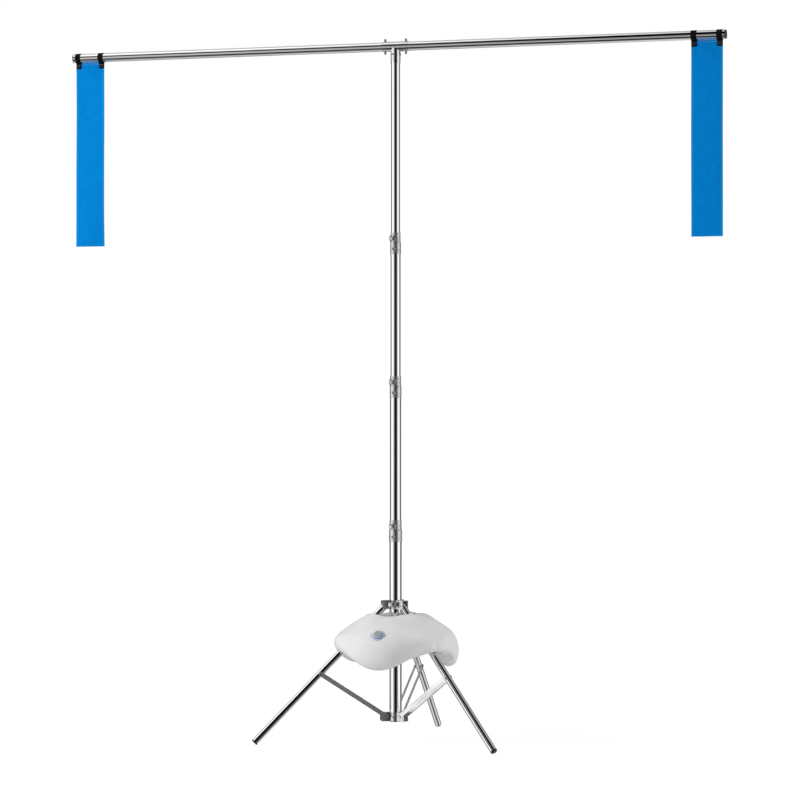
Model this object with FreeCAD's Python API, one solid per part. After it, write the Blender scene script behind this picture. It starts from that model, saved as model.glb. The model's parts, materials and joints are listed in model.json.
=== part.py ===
import FreeCAD, Part

# Telescopic target stand: a polished tube mast on a folding tripod, with a cross bar that
# carries a hanging banner near each end and a water ballast bag draped over the legs.
# Millimetres. The origin is on the floor under the mast, +X runs along the bar to its
# shorter reach, +Y to the rear leg and +Z up.

import math
import os
from FreeCAD import Vector

# Shared clearances and overruns
running_clearance = 0.05      # radial, pin in hole
sliding_clearance = 0.3       # radial, tube in tube and cloth round bar
side_clearance = 0.3          # between flat pieces of different bodies
cut_overrun = 2.0             # how far a cutting tool runs past what it cuts

# Mast
tube_wall = 1.2
lower_tube_diameter = 34.0
lower_collar_top = 610.6
middle_stage_length = 397.3   # lower collar top to middle collar top
upper_stage_length = 395.9    # middle collar top to upper collar top
bar_height = 1917.0
tube_overlap = 70.0           # how far an inner tube reaches below its collar's step
plug_flange = 2.0
plug_spigot = 18.0
plug_fit = 0.05

# Clamp collars: the lower half grips the outer tube, the upper half guides the inner tube
collar_length = 60.0
collar_wall = 0.9
collar_fit = 0.05
collar_step_height = 31.0     # from the collar's bottom to the outer tube's top
collar_cone_length = 5.0
collar_rivet_height = 14.0    # from the collar's bottom
collar_screw_drop = 17.0      # from the collar's top
boss_diameter = 11.0
boss_height = 4.0

# Butterfly wing screws
screw_shank_diameter = 6.0
screw_hub_diameter = 8.0
screw_hub_length = 6.5
wing_span = 24.0
wing_tip_height = 18.0
wing_tip_bulge = 3.5          # how far a wing's rounded end stands past its corners
wing_waist_height = 5.0
wing_thickness = 3.0
wing_setback = 1.5            # wing plate's distance behind the screw hub's front
wing_corner_radius = 1.2
screw_tip_gap = 0.35          # between the screw's tip and the tube it clamps at rest

# Hollow rivets
rivet_head_diameter = 6.0
collar_rivet_head_diameter = 11.0
rivet_head_height = 1.0
rivet_shank_diameter = 4.6
rivet_bore_diameter = 3.2

# Tripod
leg_names = ["rear", "left", "right"]      # anticlockwise from above
rear_leg_azimuth = 90.0
front_azimuth = -90.0
hub_pivot_reach = 28.5
leg_angle = 44.7              # from vertical, opened
leg_length = 521.0            # hub pivot to the middle of the foot's end face
leg_diameter = 19.0
leg_wall = 1.2
leg_joint_distance = 260.0    # hub pivot to brace pivot, along the leg
foot_end_height = 5.0         # middle of the foot's end face above the floor
foot_flange = 4.0
foot_spigot = 22.0
foot_corner_radius = 3.0
pin_diameter = 5.0
pin_head_diameter = 8.5
pin_head_height = 1.5

# Hubs
hub_wall = 1.0
upper_hub_below_pivot = 8.8
upper_hub_above_pivot = 14.7
lower_pivot_height = 71.3
lower_hub_below_pivot = 14.3
lower_hub_above_pivot = 9.7
cheek_thickness = 2.0
cheek_end_reach = 39.5
lower_cheek_end_reach = 42.0
cheek_corner_radius = 3.0
web_thickness = 2.0
hub_screw_height = 12.0       # from the upper hub's bottom
lower_rivet_height = 11.0     # from the lower hub's bottom

# Braces
brace_width = 12.0
brace_thickness = 1.5
brace_gap = 0.5               # between a strap and the leg beside it

# Tee and bar
bar_diameter = 25.0
bar_wall = 1.2
arm_length = 945.0
arm_joint_offset = 20.5       # how far left of the mast the two arms meet
tee_sleeve_length = 74.0
tee_fit = 0.2
tee_wall = 1.25
tee_mouth_length = 3.0        # drawn-in mouth at each end of the sleeve
socket_drop = 47.0            # socket's lower end below the bar's axis
socket_wall = 1.1
socket_fit = 0.05
socket_mouth_length = 4.0
tube_top_gap = 1.0            # between the top tube's end and the sleeve
tee_rivet_drop = 22.0         # below the bar's axis
tee_rivet_azimuth = -108.0
arm_cap_flange = 3.0
arm_cap_spigot = 20.0
arm_cap_corner_radius = 1.5

# Snap buttons and their springs
button_reach = 30.0           # from the mast's axis
button_diameter = 6.4
button_proud = 7.6
button_seat_depth = 0.2       # inner end below the strip's outer face
button_hole_clearance = 0.3
button_dome = 2.0
spring_strip_thickness = 0.8
spring_strip_width = 9.0
spring_strip_gap = 1.4        # between the strip and the arm's bore
spring_length = 46.0          # button axis to the start of the bend
spring_end_margin = 6.0       # button axis to the strip's end

# Banners and their webbing
banner_width = 86.0
banner_length = 525.0
banner_thickness = 1.6
hem_thickness = 2.6
hem_height = 12.0
left_banner_margin = 5.5      # from the arm's end to the banner's outer edge
right_banner_margin = 6.5
webbing_width = 16.0
webbing_thickness = 1.5
tab_length = 16.0

# Ballast bag: reaches are from the mast's axis, and drops are below the legs' upper pivots
bag_leg_clearance = 0.4       # between the bag and the leg it lies on
bag_hole_radius = 49.0
bag_reach = 174.0
bag_lobe_rim_drop = 29.0      # in the middle of a lobe
bag_lobe_depth = 139.5
bag_leg_rim_drop = 19.8       # over a leg
bag_leg_rim_reach = 61.5
bag_leg_reach = 169.0
bag_sections_per_lobe = 9

# Filler valve
valve_azimuth = -90.0
valve_flange_diameter = 34.0
valve_flange_thickness = 3.0
valve_ear_diameter = 9.0       # the two grip ears at the flange's edge
valve_neck_diameter = 26.0
valve_neck_height = 3.5
valve_bore_diameter = 15.0
valve_seat_clearance = 0.3
stopper_head_diameter = 20.0
stopper_head_height = 2.5
stopper_plug_length = 8.0

# Worked-out directions of the legs, evenly spread
leg_spread = 360.0 / len(leg_names)
leg_azimuths = {name: rear_leg_azimuth + leg_spread * place for place, name in enumerate(leg_names)}

# Worked-out sizes of the mast and the bar
mast_base_height = lower_pivot_height - lower_hub_below_pivot
tube_step = 2.0 * (tube_wall + sliding_clearance)
middle_tube_diameter = lower_tube_diameter - tube_step
upper_tube_diameter = middle_tube_diameter - tube_step
top_tube_diameter = upper_tube_diameter - tube_step
middle_collar_top = lower_collar_top + middle_stage_length
upper_collar_top = middle_collar_top + upper_stage_length
tee_inner_radius = bar_diameter / 2.0 + tee_fit
tee_outer_radius = tee_inner_radius + tee_wall
left_arm_end = -arm_joint_offset - arm_length
right_arm_end = arm_length - arm_joint_offset
left_banner_centre = left_arm_end + left_banner_margin + banner_width / 2.0
right_banner_centre = right_arm_end - right_banner_margin - banner_width / 2.0
spring_strip_reach = bar_diameter / 2.0 - bar_wall - spring_strip_gap
button_root = spring_strip_reach - button_seat_depth

# Worked-out places of the tripod
leg_sine = math.sin(math.radians(leg_angle))
leg_cosine = math.cos(math.radians(leg_angle))
upper_pivot_height = foot_end_height + leg_length * leg_cosine
upper_pivot = Vector(hub_pivot_reach, 0, upper_pivot_height)
lower_pivot = Vector(hub_pivot_reach, 0, lower_pivot_height)
leg_direction = Vector(leg_sine, 0, -leg_cosine)
brace_pivot = upper_pivot + leg_direction * leg_joint_distance
foot_end = upper_pivot + leg_direction * leg_length
hub_inner_radius = lower_tube_diameter / 2.0 + sliding_clearance
hub_outer_radius = hub_inner_radius + hub_wall
upper_cheek_inner = leg_diameter / 2.0 + side_clearance
strap_inner = leg_diameter / 2.0 + brace_gap
strap_outer = strap_inner + brace_thickness
lower_cheek_outer = strap_inner - side_clearance

UP = Vector(0, 0, 1)
ALONG_BAR = Vector(1, 0, 0)
ACROSS = Vector(0, 1, 0)
ORIGIN = Vector(0, 0, 0)


def rod(radius, start, direction, length):
    """Solid cylinder from start along direction."""
    return Part.makeCylinder(radius, length, start, direction)


def pipe(outer_radius, inner_radius, start, direction, length):
    """Round tube from start along direction."""
    unit = Vector(direction).normalize()
    hole = rod(inner_radius, start - unit * cut_overrun, unit, length + 2 * cut_overrun)
    return rod(outer_radius, start, unit, length).cut(hole)


def box(x_low, x_high, y_low, y_high, z_low, z_high):
    """Axis-aligned block between two corners."""
    corner = Vector(x_low, y_low, z_low)
    return Part.makeBox(x_high - x_low, y_high - y_low, z_high - z_low, corner)


def turned(shape, azimuth):
    """Copy of a shape that was built in the XZ half plane, turned to an azimuth."""
    copy = shape.copy()
    copy.rotate(ORIGIN, UP, azimuth)
    return copy


def revolve_profile(points):
    """Solid of revolution about the mast from (radius, height) points."""
    corners = [Vector(radius, 0, height) for radius, height in points]
    face = Part.Face(Part.makePolygon(corners + corners[:1]))
    return face.revolve(ORIGIN, UP, 360)


def round_edges(shape, radius, chosen):
    """Fillet the edges that the chosen test accepts."""
    edges = [edge for edge in shape.Edges if chosen(edge)]
    return shape.makeFillet(radius, edges)


def write(name, shape):
    """Save one sub-part, as a single solid or a group of separate solids."""
    solids = shape.Solids
    result = solids[0] if len(solids) == 1 else Part.makeCompound(solids)
    result.exportStep(os.path.join("parts", name + ".step"))


def hollow_rivet(tube_inner_radius, outer_radius, height, azimuth, head_diameter):
    """Tubular rivet through a sleeve and the tube inside it, its head hugging the sleeve."""
    start = Vector(tube_inner_radius, 0, height)
    grip = outer_radius - tube_inner_radius
    shank = rod(rivet_shank_diameter / 2.0, start, ALONG_BAR, grip + rivet_head_height)
    edge_reach = math.sqrt(outer_radius ** 2 - (head_diameter / 2.0) ** 2)
    head = rod(head_diameter / 2.0, Vector(edge_reach, 0, height), ALONG_BAR,
               outer_radius + rivet_head_height - edge_reach)
    head = head.cut(rod(outer_radius, Vector(0, 0, height - head_diameter), UP, 2 * head_diameter))
    bore_start = start - ALONG_BAR * cut_overrun
    bore_length = grip + rivet_head_height + 2 * cut_overrun
    bore = rod(rivet_bore_diameter / 2.0, bore_start, ALONG_BAR, bore_length)
    return turned(shank.fuse(head).cut(bore).removeSplitter(), azimuth)


def rivet_hole(height, azimuth):
    """Tool that bores a hollow rivet's hole through one wall."""
    reach = lower_tube_diameter
    return turned(rod(rivet_shank_diameter / 2.0, Vector(0, 0, height), ALONG_BAR, reach), azimuth)


def collar(outer_tube, inner_tube, top):
    """Swaged clamp collar with the screw's threaded boss at the front."""
    bottom = top - collar_length
    step = bottom + collar_step_height
    low_inner = outer_tube / 2.0 + collar_fit
    high_inner = inner_tube / 2.0 + sliding_clearance
    low_outer = low_inner + collar_wall
    high_outer = high_inner + collar_wall
    body = revolve_profile([(low_inner, bottom), (low_outer, bottom), (low_outer, step),
                            (high_outer, step + collar_cone_length), (high_outer, top),
                            (high_inner, top), (high_inner, step + collar_fit),
                            (low_inner, step + collar_fit)])
    screw_height = top - collar_screw_drop
    boss = screw_boss(high_inner, high_outer, screw_height)
    hole = screw_hole(screw_height)
    rivet = rivet_hole(bottom + collar_rivet_height, front_azimuth)
    return body.fuse(boss).cut(hole).cut(rivet).removeSplitter()


def screw_boss(inner_radius, outer_radius, height):
    """Threaded boss that stands out of a sleeve at the front."""
    start = Vector(0, 0, height)
    length = outer_radius + boss_height
    boss = rod(boss_diameter / 2.0, start, ALONG_BAR, length)
    bore = rod(inner_radius, Vector(0, 0, height - boss_diameter), UP, 2 * boss_diameter)
    return turned(boss.cut(bore), front_azimuth)


def screw_hole(height):
    """Tool that bores a wing screw's hole at the front."""
    radius = screw_shank_diameter / 2.0 + running_clearance
    reach = lower_tube_diameter + boss_height
    return turned(rod(radius, Vector(0, 0, height), ALONG_BAR, reach), front_azimuth)


def wing_screw(clamped_radius, sleeve_radius, height):
    """Butterfly wing screw, its tip just clear of the tube that it clamps."""
    tip = clamped_radius + screw_tip_gap
    seat = sleeve_radius + boss_height + side_clearance
    shank = rod(screw_shank_diameter / 2.0, Vector(tip, 0, height), ALONG_BAR, seat - tip)
    hub = rod(screw_hub_diameter / 2.0, Vector(seat, 0, height), ALONG_BAR, screw_hub_length)
    middle = seat + screw_hub_length / 2.0
    hub = round_edges(hub, wing_corner_radius, lambda edge: edge.BoundBox.XMin > middle)
    back = seat + screw_hub_length - wing_setback - wing_thickness
    plate = wing_plate(back, height)
    return turned(shank.fuse([hub, plate]).removeSplitter(), front_azimuth)


def wing_plate(back, height):
    """Bow-tie plate across the screw, with rounded ends and corners."""
    half_tip = wing_tip_height / 2.0
    half_waist = wing_waist_height / 2.0
    corner_reach = wing_span / 2.0 - wing_tip_bulge

    def place(across, up):
        return Vector(back, across, height + up)

    edges = []
    for side in (-1, 1):
        low = place(side * corner_reach, -half_tip)
        end = place(side * wing_span / 2.0, 0)
        high = place(side * corner_reach, half_tip)
        edges.append(Part.makeLine(place(0, -half_waist), low))
        edges.append(Part.Arc(low, end, high).toShape())
        edges.append(Part.makeLine(high, place(0, half_waist)))
    outline = Part.Wire(Part.__sortEdges__(edges))
    plate = Part.Face(outline).extrude(ALONG_BAR * wing_thickness)

    def is_corner(edge):
        straight_through = edge.BoundBox.XLength > wing_thickness / 2.0
        return straight_through and abs(edge.CenterOfMass.y) > corner_reach / 2.0

    return round_edges(plate, wing_corner_radius, is_corner)


def mast_tube(diameter, bottom, top):
    """One telescopic tube of the mast."""
    radius = diameter / 2.0
    return pipe(radius, radius - tube_wall, Vector(0, 0, bottom), UP, top - bottom)


def end_plug(tube_radius, wall, start, direction, flange, spigot, corner):
    """Plug with a rounded flange over the tube's end and a spigot inside it."""
    unit = Vector(direction).normalize()
    head = rod(tube_radius, start, unit, flange)
    end = start + unit * flange
    head = round_edges(head, corner, lambda edge: (edge.CenterOfMass - end).Length < flange / 2.0)
    inner = rod(tube_radius - wall - plug_fit, start - unit * spigot, unit, spigot)
    return head.fuse(inner).removeSplitter()


def build_mast():
    """Four tubes, their collars, rivets, wing screws and plugs."""
    stages = [("lower", lower_tube_diameter, middle_tube_diameter, lower_collar_top),
              ("middle", middle_tube_diameter, upper_tube_diameter, middle_collar_top),
              ("upper", upper_tube_diameter, top_tube_diameter, upper_collar_top)]
    bottom = mast_base_height
    for name, outer, inner, top in stages:
        step = top - collar_length + collar_step_height
        rivet_height = top - collar_length + collar_rivet_height
        tube = mast_tube(outer, bottom, step).cut(rivet_hole(rivet_height, front_azimuth))
        if name == "lower":
            for azimuth in lower_rivet_azimuths():
                tube = tube.cut(rivet_hole(mast_base_height + lower_rivet_height, azimuth))
        write("mast_tube_" + name, tube)
        write("collar_" + name, collar(outer, inner, top))
        outside = outer / 2.0 + collar_fit + collar_wall
        rivet = hollow_rivet(outer / 2.0 - tube_wall, outside, rivet_height, front_azimuth,
                             collar_rivet_head_diameter)
        write("collar_rivet_" + name, rivet)
        sleeve = inner / 2.0 + sliding_clearance + collar_wall
        write("wing_screw_" + name, wing_screw(inner / 2.0, sleeve, top - collar_screw_drop))
        bottom = step - tube_overlap
    top_end = bar_height - tee_outer_radius - tube_top_gap
    top_tube = mast_tube(top_tube_diameter, bottom, top_end)
    for azimuth in tee_rivet_azimuths():
        top_tube = top_tube.cut(rivet_hole(bar_height - tee_rivet_drop, azimuth))
    write("mast_tube_top", top_tube)
    write("mast_foot_plug", mast_plug(lower_tube_diameter, mast_base_height))
    write("top_tube_plug", mast_plug(top_tube_diameter, bottom))


def mast_plug(diameter, height):
    """Plug in the lower end of a mast tube."""
    start = Vector(0, 0, height)
    return end_plug(diameter / 2.0, tube_wall, start, -UP, plug_flange, plug_spigot, plug_flange / 2.0)


def lower_rivet_azimuths():
    """The lower hub's rivets lie midway between the legs."""
    return [azimuth + 180.0 for azimuth in leg_azimuths.values()]


def tee_rivet_azimuths():
    """Three rivets evenly round the tee's socket."""
    return [tee_rivet_azimuth + 360.0 * index / 3 for index in range(3)]


def clevis(pivot, below, above, inner, reach, web_at_top, closed_inner):
    """Pair of cheeks with a web, in the leg's plane."""
    low = pivot.z - below
    high = pivot.z + above
    outer = inner + cheek_thickness
    profile = box(0, reach, -outer, outer, low, high)

    def is_far_corner(edge):
        return edge.BoundBox.YLength > inner and edge.CenterOfMass.x > reach / 2.0

    profile = round_edges(profile, cheek_corner_radius, is_far_corner)
    web_low = web_thickness if not web_at_top else -cut_overrun
    web_high = web_thickness if web_at_top else -cut_overrun
    slot = box(-cut_overrun, reach + cut_overrun, -inner, inner, low + web_low, high - web_high)
    pin_hole = rod(pin_diameter / 2.0, pivot - ACROSS * (outer + cut_overrun), ACROSS,
                   2 * (outer + cut_overrun))
    inside = rod(closed_inner, Vector(0, 0, low - cut_overrun), UP, high - low + 2 * cut_overrun)
    return profile.cut(slot).cut(pin_hole).cut(inside)


def domed(head, beyond):
    """Pin head with its outer edge rounded, the one further out than a distance."""
    return round_edges(head, pin_head_height / 2.0, lambda edge: abs(edge.CenterOfMass.y) > beyond)


def pivot_pin(pivot, half_grip):
    """Riveted pin across the leg's plane with a domed head at each end."""
    shank = rod(pin_diameter / 2.0, pivot - ACROSS * half_grip, ACROSS, 2 * half_grip)
    pieces = []
    for side in (-1, 1):
        start = pivot + ACROSS * (side * half_grip)
        head = rod(pin_head_diameter / 2.0, start, ACROSS * side, pin_head_height)
        pieces.append(domed(head, half_grip + pin_head_height / 2.0))
    return shank.fuse(pieces).removeSplitter()


def build_upper_hub():
    """Sliding hub with three top-webbed clevises, its pins and its wing screw."""
    low = upper_pivot_height - upper_hub_below_pivot
    height = upper_hub_below_pivot + upper_hub_above_pivot
    sleeve = pipe(hub_outer_radius, hub_inner_radius, Vector(0, 0, low), UP, height)
    cheeks = clevis(upper_pivot, upper_hub_below_pivot, upper_hub_above_pivot, upper_cheek_inner,
                    cheek_end_reach, True, hub_inner_radius)
    hub = sleeve.fuse([turned(cheeks, azimuth) for azimuth in leg_azimuths.values()])
    screw_height = low + hub_screw_height
    hub = hub.fuse(screw_boss(hub_inner_radius, hub_outer_radius, screw_height))
    write("upper_hub", hub.cut(screw_hole(screw_height)).removeSplitter())
    pin = pivot_pin(upper_pivot, upper_cheek_inner + cheek_thickness)
    write("upper_hub_pins", Part.makeCompound([turned(pin, a) for a in leg_azimuths.values()]))
    write("wing_screw_hub", wing_screw(lower_tube_diameter / 2.0, hub_outer_radius, screw_height))


def build_lower_hub():
    """Fixed hub at the mast's foot, its hollow rivets and the braces' pins."""
    low = lower_pivot_height - lower_hub_below_pivot
    height = lower_hub_below_pivot + lower_hub_above_pivot
    inner = lower_tube_diameter / 2.0
    sleeve = pipe(hub_outer_radius, inner, Vector(0, 0, low), UP, height)
    cheeks = clevis(lower_pivot, lower_hub_below_pivot, lower_hub_above_pivot,
                    lower_cheek_outer - cheek_thickness, lower_cheek_end_reach, False, inner)
    hub = sleeve.fuse([turned(cheeks, azimuth) for azimuth in leg_azimuths.values()])
    rivet_height = mast_base_height + lower_rivet_height
    rivets = []
    for azimuth in lower_rivet_azimuths():
        hub = hub.cut(rivet_hole(rivet_height, azimuth))
        rivets.append(hollow_rivet(inner - tube_wall, hub_outer_radius, rivet_height, azimuth,
                                   rivet_head_diameter))
    write("lower_hub", hub.removeSplitter())
    write("lower_hub_rivets", Part.makeCompound(rivets))
    pin = pivot_pin(lower_pivot, strap_outer + side_clearance)
    write("lower_hub_pins", Part.makeCompound([turned(pin, a) for a in leg_azimuths.values()]))


def leg_tube():
    """Leg tube with its top rounded about the hub pivot and holes for both pivots."""
    radius = leg_diameter / 2.0
    tube = pipe(radius, radius - leg_wall, upper_pivot - leg_direction * radius, leg_direction,
                leg_length - foot_flange + radius)
    keep_round = rod(radius, upper_pivot - ACROSS * leg_diameter, ACROSS, 2 * leg_diameter)
    keep_long = rod(leg_diameter, upper_pivot, leg_direction, leg_length)
    tube = tube.common(keep_round.fuse(keep_long))
    aside = ACROSS * leg_diameter
    pin_radius = pin_diameter / 2.0
    hub_hole = rod(pin_radius + running_clearance, upper_pivot - aside, ACROSS, 2 * leg_diameter)
    brace_hole = rod(pin_radius, brace_pivot - aside, ACROSS, 2 * leg_diameter)
    return tube.cut(hub_hole).cut(brace_hole)


def foot_plug():
    """Plug in the leg's end, cut flat where it stands on the floor."""
    start = foot_end - leg_direction * foot_flange
    plug = end_plug(leg_diameter / 2.0, leg_wall, start, leg_direction, foot_flange, foot_spigot,
                    foot_corner_radius)
    floor = box(0, 2 * foot_end.x, -leg_diameter, leg_diameter, -leg_diameter, 0)
    return plug.cut(floor)


def brace_straps():
    """Two flat straps with rounded ends, one each side of the leg."""
    run = brace_pivot - lower_pivot
    half = brace_width / 2.0
    straps = []
    for side in (-1, 1):
        offset = ACROSS * (side * strap_inner)
        push = ACROSS * (side * brace_thickness)
        normal = Vector(-run.z, 0, run.x).normalize() * half
        corners = [lower_pivot + normal, brace_pivot + normal, brace_pivot - normal, lower_pivot - normal]
        corners = [corner + offset for corner in corners]
        flat = Part.Face(Part.makePolygon(corners + corners[:1])).extrude(push)
        ends = [rod(half, point + offset, push, brace_thickness) for point in (lower_pivot, brace_pivot)]
        strap = flat.fuse(ends)
        low_hole = rod(pin_diameter / 2.0 + running_clearance, lower_pivot + offset - push, push,
                       3 * brace_thickness)
        high_hole = rod(pin_diameter / 2.0, brace_pivot + offset - push, push, 3 * brace_thickness)
        straps.append(strap.cut(low_hole).cut(high_hole).removeSplitter())
    return Part.makeCompound(straps)


def brace_rivets():
    """Rivet in each strap's upper end, its head outside and its shank short of the leg."""
    rivets = []
    for side in (-1, 1):
        outward = ACROSS * side
        start = brace_pivot + outward * strap_inner
        shank = rod(pin_diameter / 2.0, start, outward, brace_thickness)
        head_start = brace_pivot + outward * strap_outer
        head = rod(pin_head_diameter / 2.0, head_start, outward, pin_head_height)
        head = domed(head, strap_outer + pin_head_height / 2.0)
        rivets.append(shank.fuse(head).removeSplitter())
    return Part.makeCompound(rivets)


def build_legs():
    """Three legs with their feet, pivot pins and braces."""
    tube = leg_tube()
    plug = foot_plug()
    half = leg_diameter / 2.0
    inner_pin = rod(pin_diameter / 2.0, brace_pivot - ACROSS * half, ACROSS, leg_diameter)
    straps = brace_straps()
    rivets = brace_rivets()
    for name, azimuth in leg_azimuths.items():
        write("leg_" + name, turned(tube, azimuth))
        write("foot_plug_" + name, turned(plug, azimuth))
        write("leg_pin_" + name, turned(inner_pin, azimuth))
        write("brace_" + name, turned(straps, azimuth))
        write("brace_rivets_" + name, turned(rivets, azimuth))


def revolve_along_bar(points):
    """Solid of revolution about the bar's axis from (place along the bar, radius) points."""
    corners = [Vector(place, 0, bar_height + radius) for place, radius in points]
    face = Part.Face(Part.makePolygon(corners + corners[:1]))
    return face.revolve(Vector(0, 0, bar_height), ALONG_BAR, 360)


def tee_head():
    """Horizontal sleeve with drawn-in mouths and a socket for the top tube below."""
    half = tee_sleeve_length / 2.0
    shoulder = half - tee_mouth_length
    mouth_outer = tee_inner_radius + tee_wall / 2.0
    sleeve = revolve_along_bar([(-half, 0), (-half, mouth_outer), (-shoulder, tee_outer_radius),
                                (shoulder, tee_outer_radius), (half, mouth_outer), (half, 0)])
    inner = top_tube_diameter / 2.0 + socket_fit
    outer = inner + socket_wall
    bottom = bar_height - socket_drop
    mouth = bottom + socket_mouth_length
    neck = revolve_profile([(0, bottom), (inner + socket_wall / 2.0, bottom), (outer, mouth),
                            (outer, bar_height), (0, bar_height)])
    tube_room = rod(inner, Vector(0, 0, bottom - cut_overrun), UP,
                    socket_drop + cut_overrun - tee_outer_radius)
    arm_room = rod(tee_inner_radius, Vector(-half - cut_overrun, 0, bar_height), ALONG_BAR,
                   tee_sleeve_length + 2 * cut_overrun)
    tee = sleeve.fuse(neck).cut(tube_room).cut(arm_room)
    for place in (-button_reach, button_reach):
        tee = tee.cut(button_hole(place))
    for azimuth in tee_rivet_azimuths():
        tee = tee.cut(rivet_hole(bar_height - tee_rivet_drop, azimuth))
    return tee.removeSplitter()


def button_hole(place):
    """Tool that bores both snap button holes through sleeve and arm."""
    radius = button_diameter / 2.0 + button_hole_clearance
    start = Vector(place, 0, bar_height - bar_diameter)
    return rod(radius, start, UP, 2 * bar_diameter)


def arm(side):
    """One arm of the bar, from the joint inside the tee outwards."""
    radius = bar_diameter / 2.0
    start = Vector(-arm_joint_offset, 0, bar_height)
    tube = pipe(radius, radius - bar_wall, start, ALONG_BAR * side, arm_length)
    return tube.cut(button_hole(side * button_reach))


def snap_spring(side):
    """U-shaped strip inside the arm that carries the two buttons."""
    outer = spring_strip_reach
    inner = outer - spring_strip_thickness
    near = side * (button_reach - spring_end_margin)
    bend = side * (button_reach + spring_length)
    half = spring_strip_width / 2.0
    low, high = min(near, bend), max(near, bend)
    strips = [box(low, high, -half, half, bar_height + inner, bar_height + outer),
              box(low, high, -half, half, bar_height - outer, bar_height - inner)]
    turn = pipe(outer, inner, Vector(bend, -half, bar_height), ACROSS, spring_strip_width)
    far = bend + side * (outer + cut_overrun)
    keep = box(min(bend, far), max(bend, far), -half, half, bar_height - outer, bar_height + outer)
    spring = turn.common(keep).fuse(strips)
    return spring.cut(button_hole(side * button_reach)).removeSplitter()


def snap_button(side, way):
    """Domed button that stands out of the sleeve, up or down."""
    start = Vector(side * button_reach, 0, bar_height + way * button_root)
    length = tee_outer_radius + button_proud - button_root
    button = rod(button_diameter / 2.0, start, UP * way, length)
    tip = start + UP * (way * length)
    return round_edges(button, button_dome, lambda edge: (edge.CenterOfMass - tip).Length < button_dome)


def tee_rivets():
    """Tubular rivets round the socket, flush with the top tube's inside."""
    inner = top_tube_diameter / 2.0 - tube_wall
    outer = top_tube_diameter / 2.0 + socket_fit + socket_wall
    height = bar_height - tee_rivet_drop
    rivets = [hollow_rivet(inner, outer, height, azimuth, rivet_head_diameter)
              for azimuth in tee_rivet_azimuths()]
    return Part.makeCompound(rivets)


def build_head():
    """Tee, arms, caps, springs, buttons and rivets."""
    write("tee_head", tee_head())
    write("tee_rivets", tee_rivets())
    radius = bar_diameter / 2.0
    for name, side, reach in (("left", -1, left_arm_end), ("right", 1, right_arm_end)):
        write("arm_" + name, arm(side))
        end = Vector(reach, 0, bar_height)
        write("arm_cap_" + name, end_plug(radius, bar_wall, end, ALONG_BAR * side, arm_cap_flange,
                                          arm_cap_spigot, arm_cap_corner_radius))
        write("snap_spring_" + name, snap_spring(side))
        write("snap_button_%s_top" % name, snap_button(side, 1))
        write("snap_button_%s_bottom" % name, snap_button(side, -1))


def webbing_places(centre):
    """Where the two webbing loops of a banner start along the bar."""
    half = banner_width / 2.0
    return (centre - half, centre + half - webbing_width)


def banner(centre):
    """Hemmed cloth that hangs close under the bar, cut back below the loops."""
    half = banner_width / 2.0
    top = bar_height - bar_diameter / 2.0 - sliding_clearance
    bottom = top - banner_length
    body = box(centre - half, centre + half, -banner_thickness / 2.0, banner_thickness / 2.0, bottom, top)
    hem = box(centre - half, centre + half, -hem_thickness / 2.0, hem_thickness / 2.0, bottom,
              bottom + hem_height)
    cloth = body.fuse(hem)
    notch_bottom = bar_height - loop_radius() - sliding_clearance
    for place in webbing_places(centre):
        cloth = cloth.cut(box(place - side_clearance, place + webbing_width + side_clearance,
                              -bar_diameter, bar_diameter, notch_bottom, bar_height))
    return cloth.removeSplitter()


def loop_radius():
    """Outside of the webbing round the bar."""
    return bar_diameter / 2.0 + sliding_clearance + webbing_thickness


def webbing_loops(centre):
    """The two bands of webbing round the bar."""
    inner = bar_diameter / 2.0 + sliding_clearance
    bands = [pipe(loop_radius(), inner, Vector(place, 0, bar_height), ALONG_BAR, webbing_width)
             for place in webbing_places(centre)]
    return Part.makeCompound(bands)


def webbing_tabs(centre):
    """Sewn ends of the webbing on both faces of the cloth, joined under the band."""
    top = bar_height - loop_radius() - sliding_clearance
    bottom = top - tab_length
    inner = banner_thickness / 2.0
    outer = inner + webbing_thickness
    tabs = []
    for place in webbing_places(centre):
        for side in (-1, 1):
            low, high = sorted((side * inner, side * outer))
            tabs.append(box(place, place + webbing_width, low, high, bottom, top))
    return Part.makeCompound(tabs)


def build_banners():
    """Both banners with their webbing."""
    for name, centre in (("left", left_banner_centre), ("right", right_banner_centre)):
        write("banner_" + name, banner(centre))
        write("webbing_loops_" + name, webbing_loops(centre))
        write("webbing_tabs_" + name, webbing_tabs(centre))


def leg_top_height(reach):
    """Height of the bag's underside where it lies on a leg."""
    axis = upper_pivot_height - (reach - hub_pivot_reach) * leg_cosine / leg_sine
    return axis + (leg_diameter / 2.0 + bag_leg_clearance) / leg_sine


def lobe_section():
    """Section in the middle of a lobe: rim, top, outer edge, tip and underside."""
    rim_height = upper_pivot_height - bag_lobe_rim_drop
    width = bag_reach - bag_hole_radius
    reach_shares = (0.088, 0.0, 0.072, 0.448, 0.824, 1.0, 0.92, 0.808, 0.68, 0.472)
    drop_shares = (0.181, 0.084, 0.0, 0.077, 0.3, 0.627, 0.948, 1.0, 0.941, 0.502)
    return [(bag_hole_radius + width * reach_share, rim_height - bag_lobe_depth * drop_share)
            for reach_share, drop_share in zip(reach_shares, drop_shares)]


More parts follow.
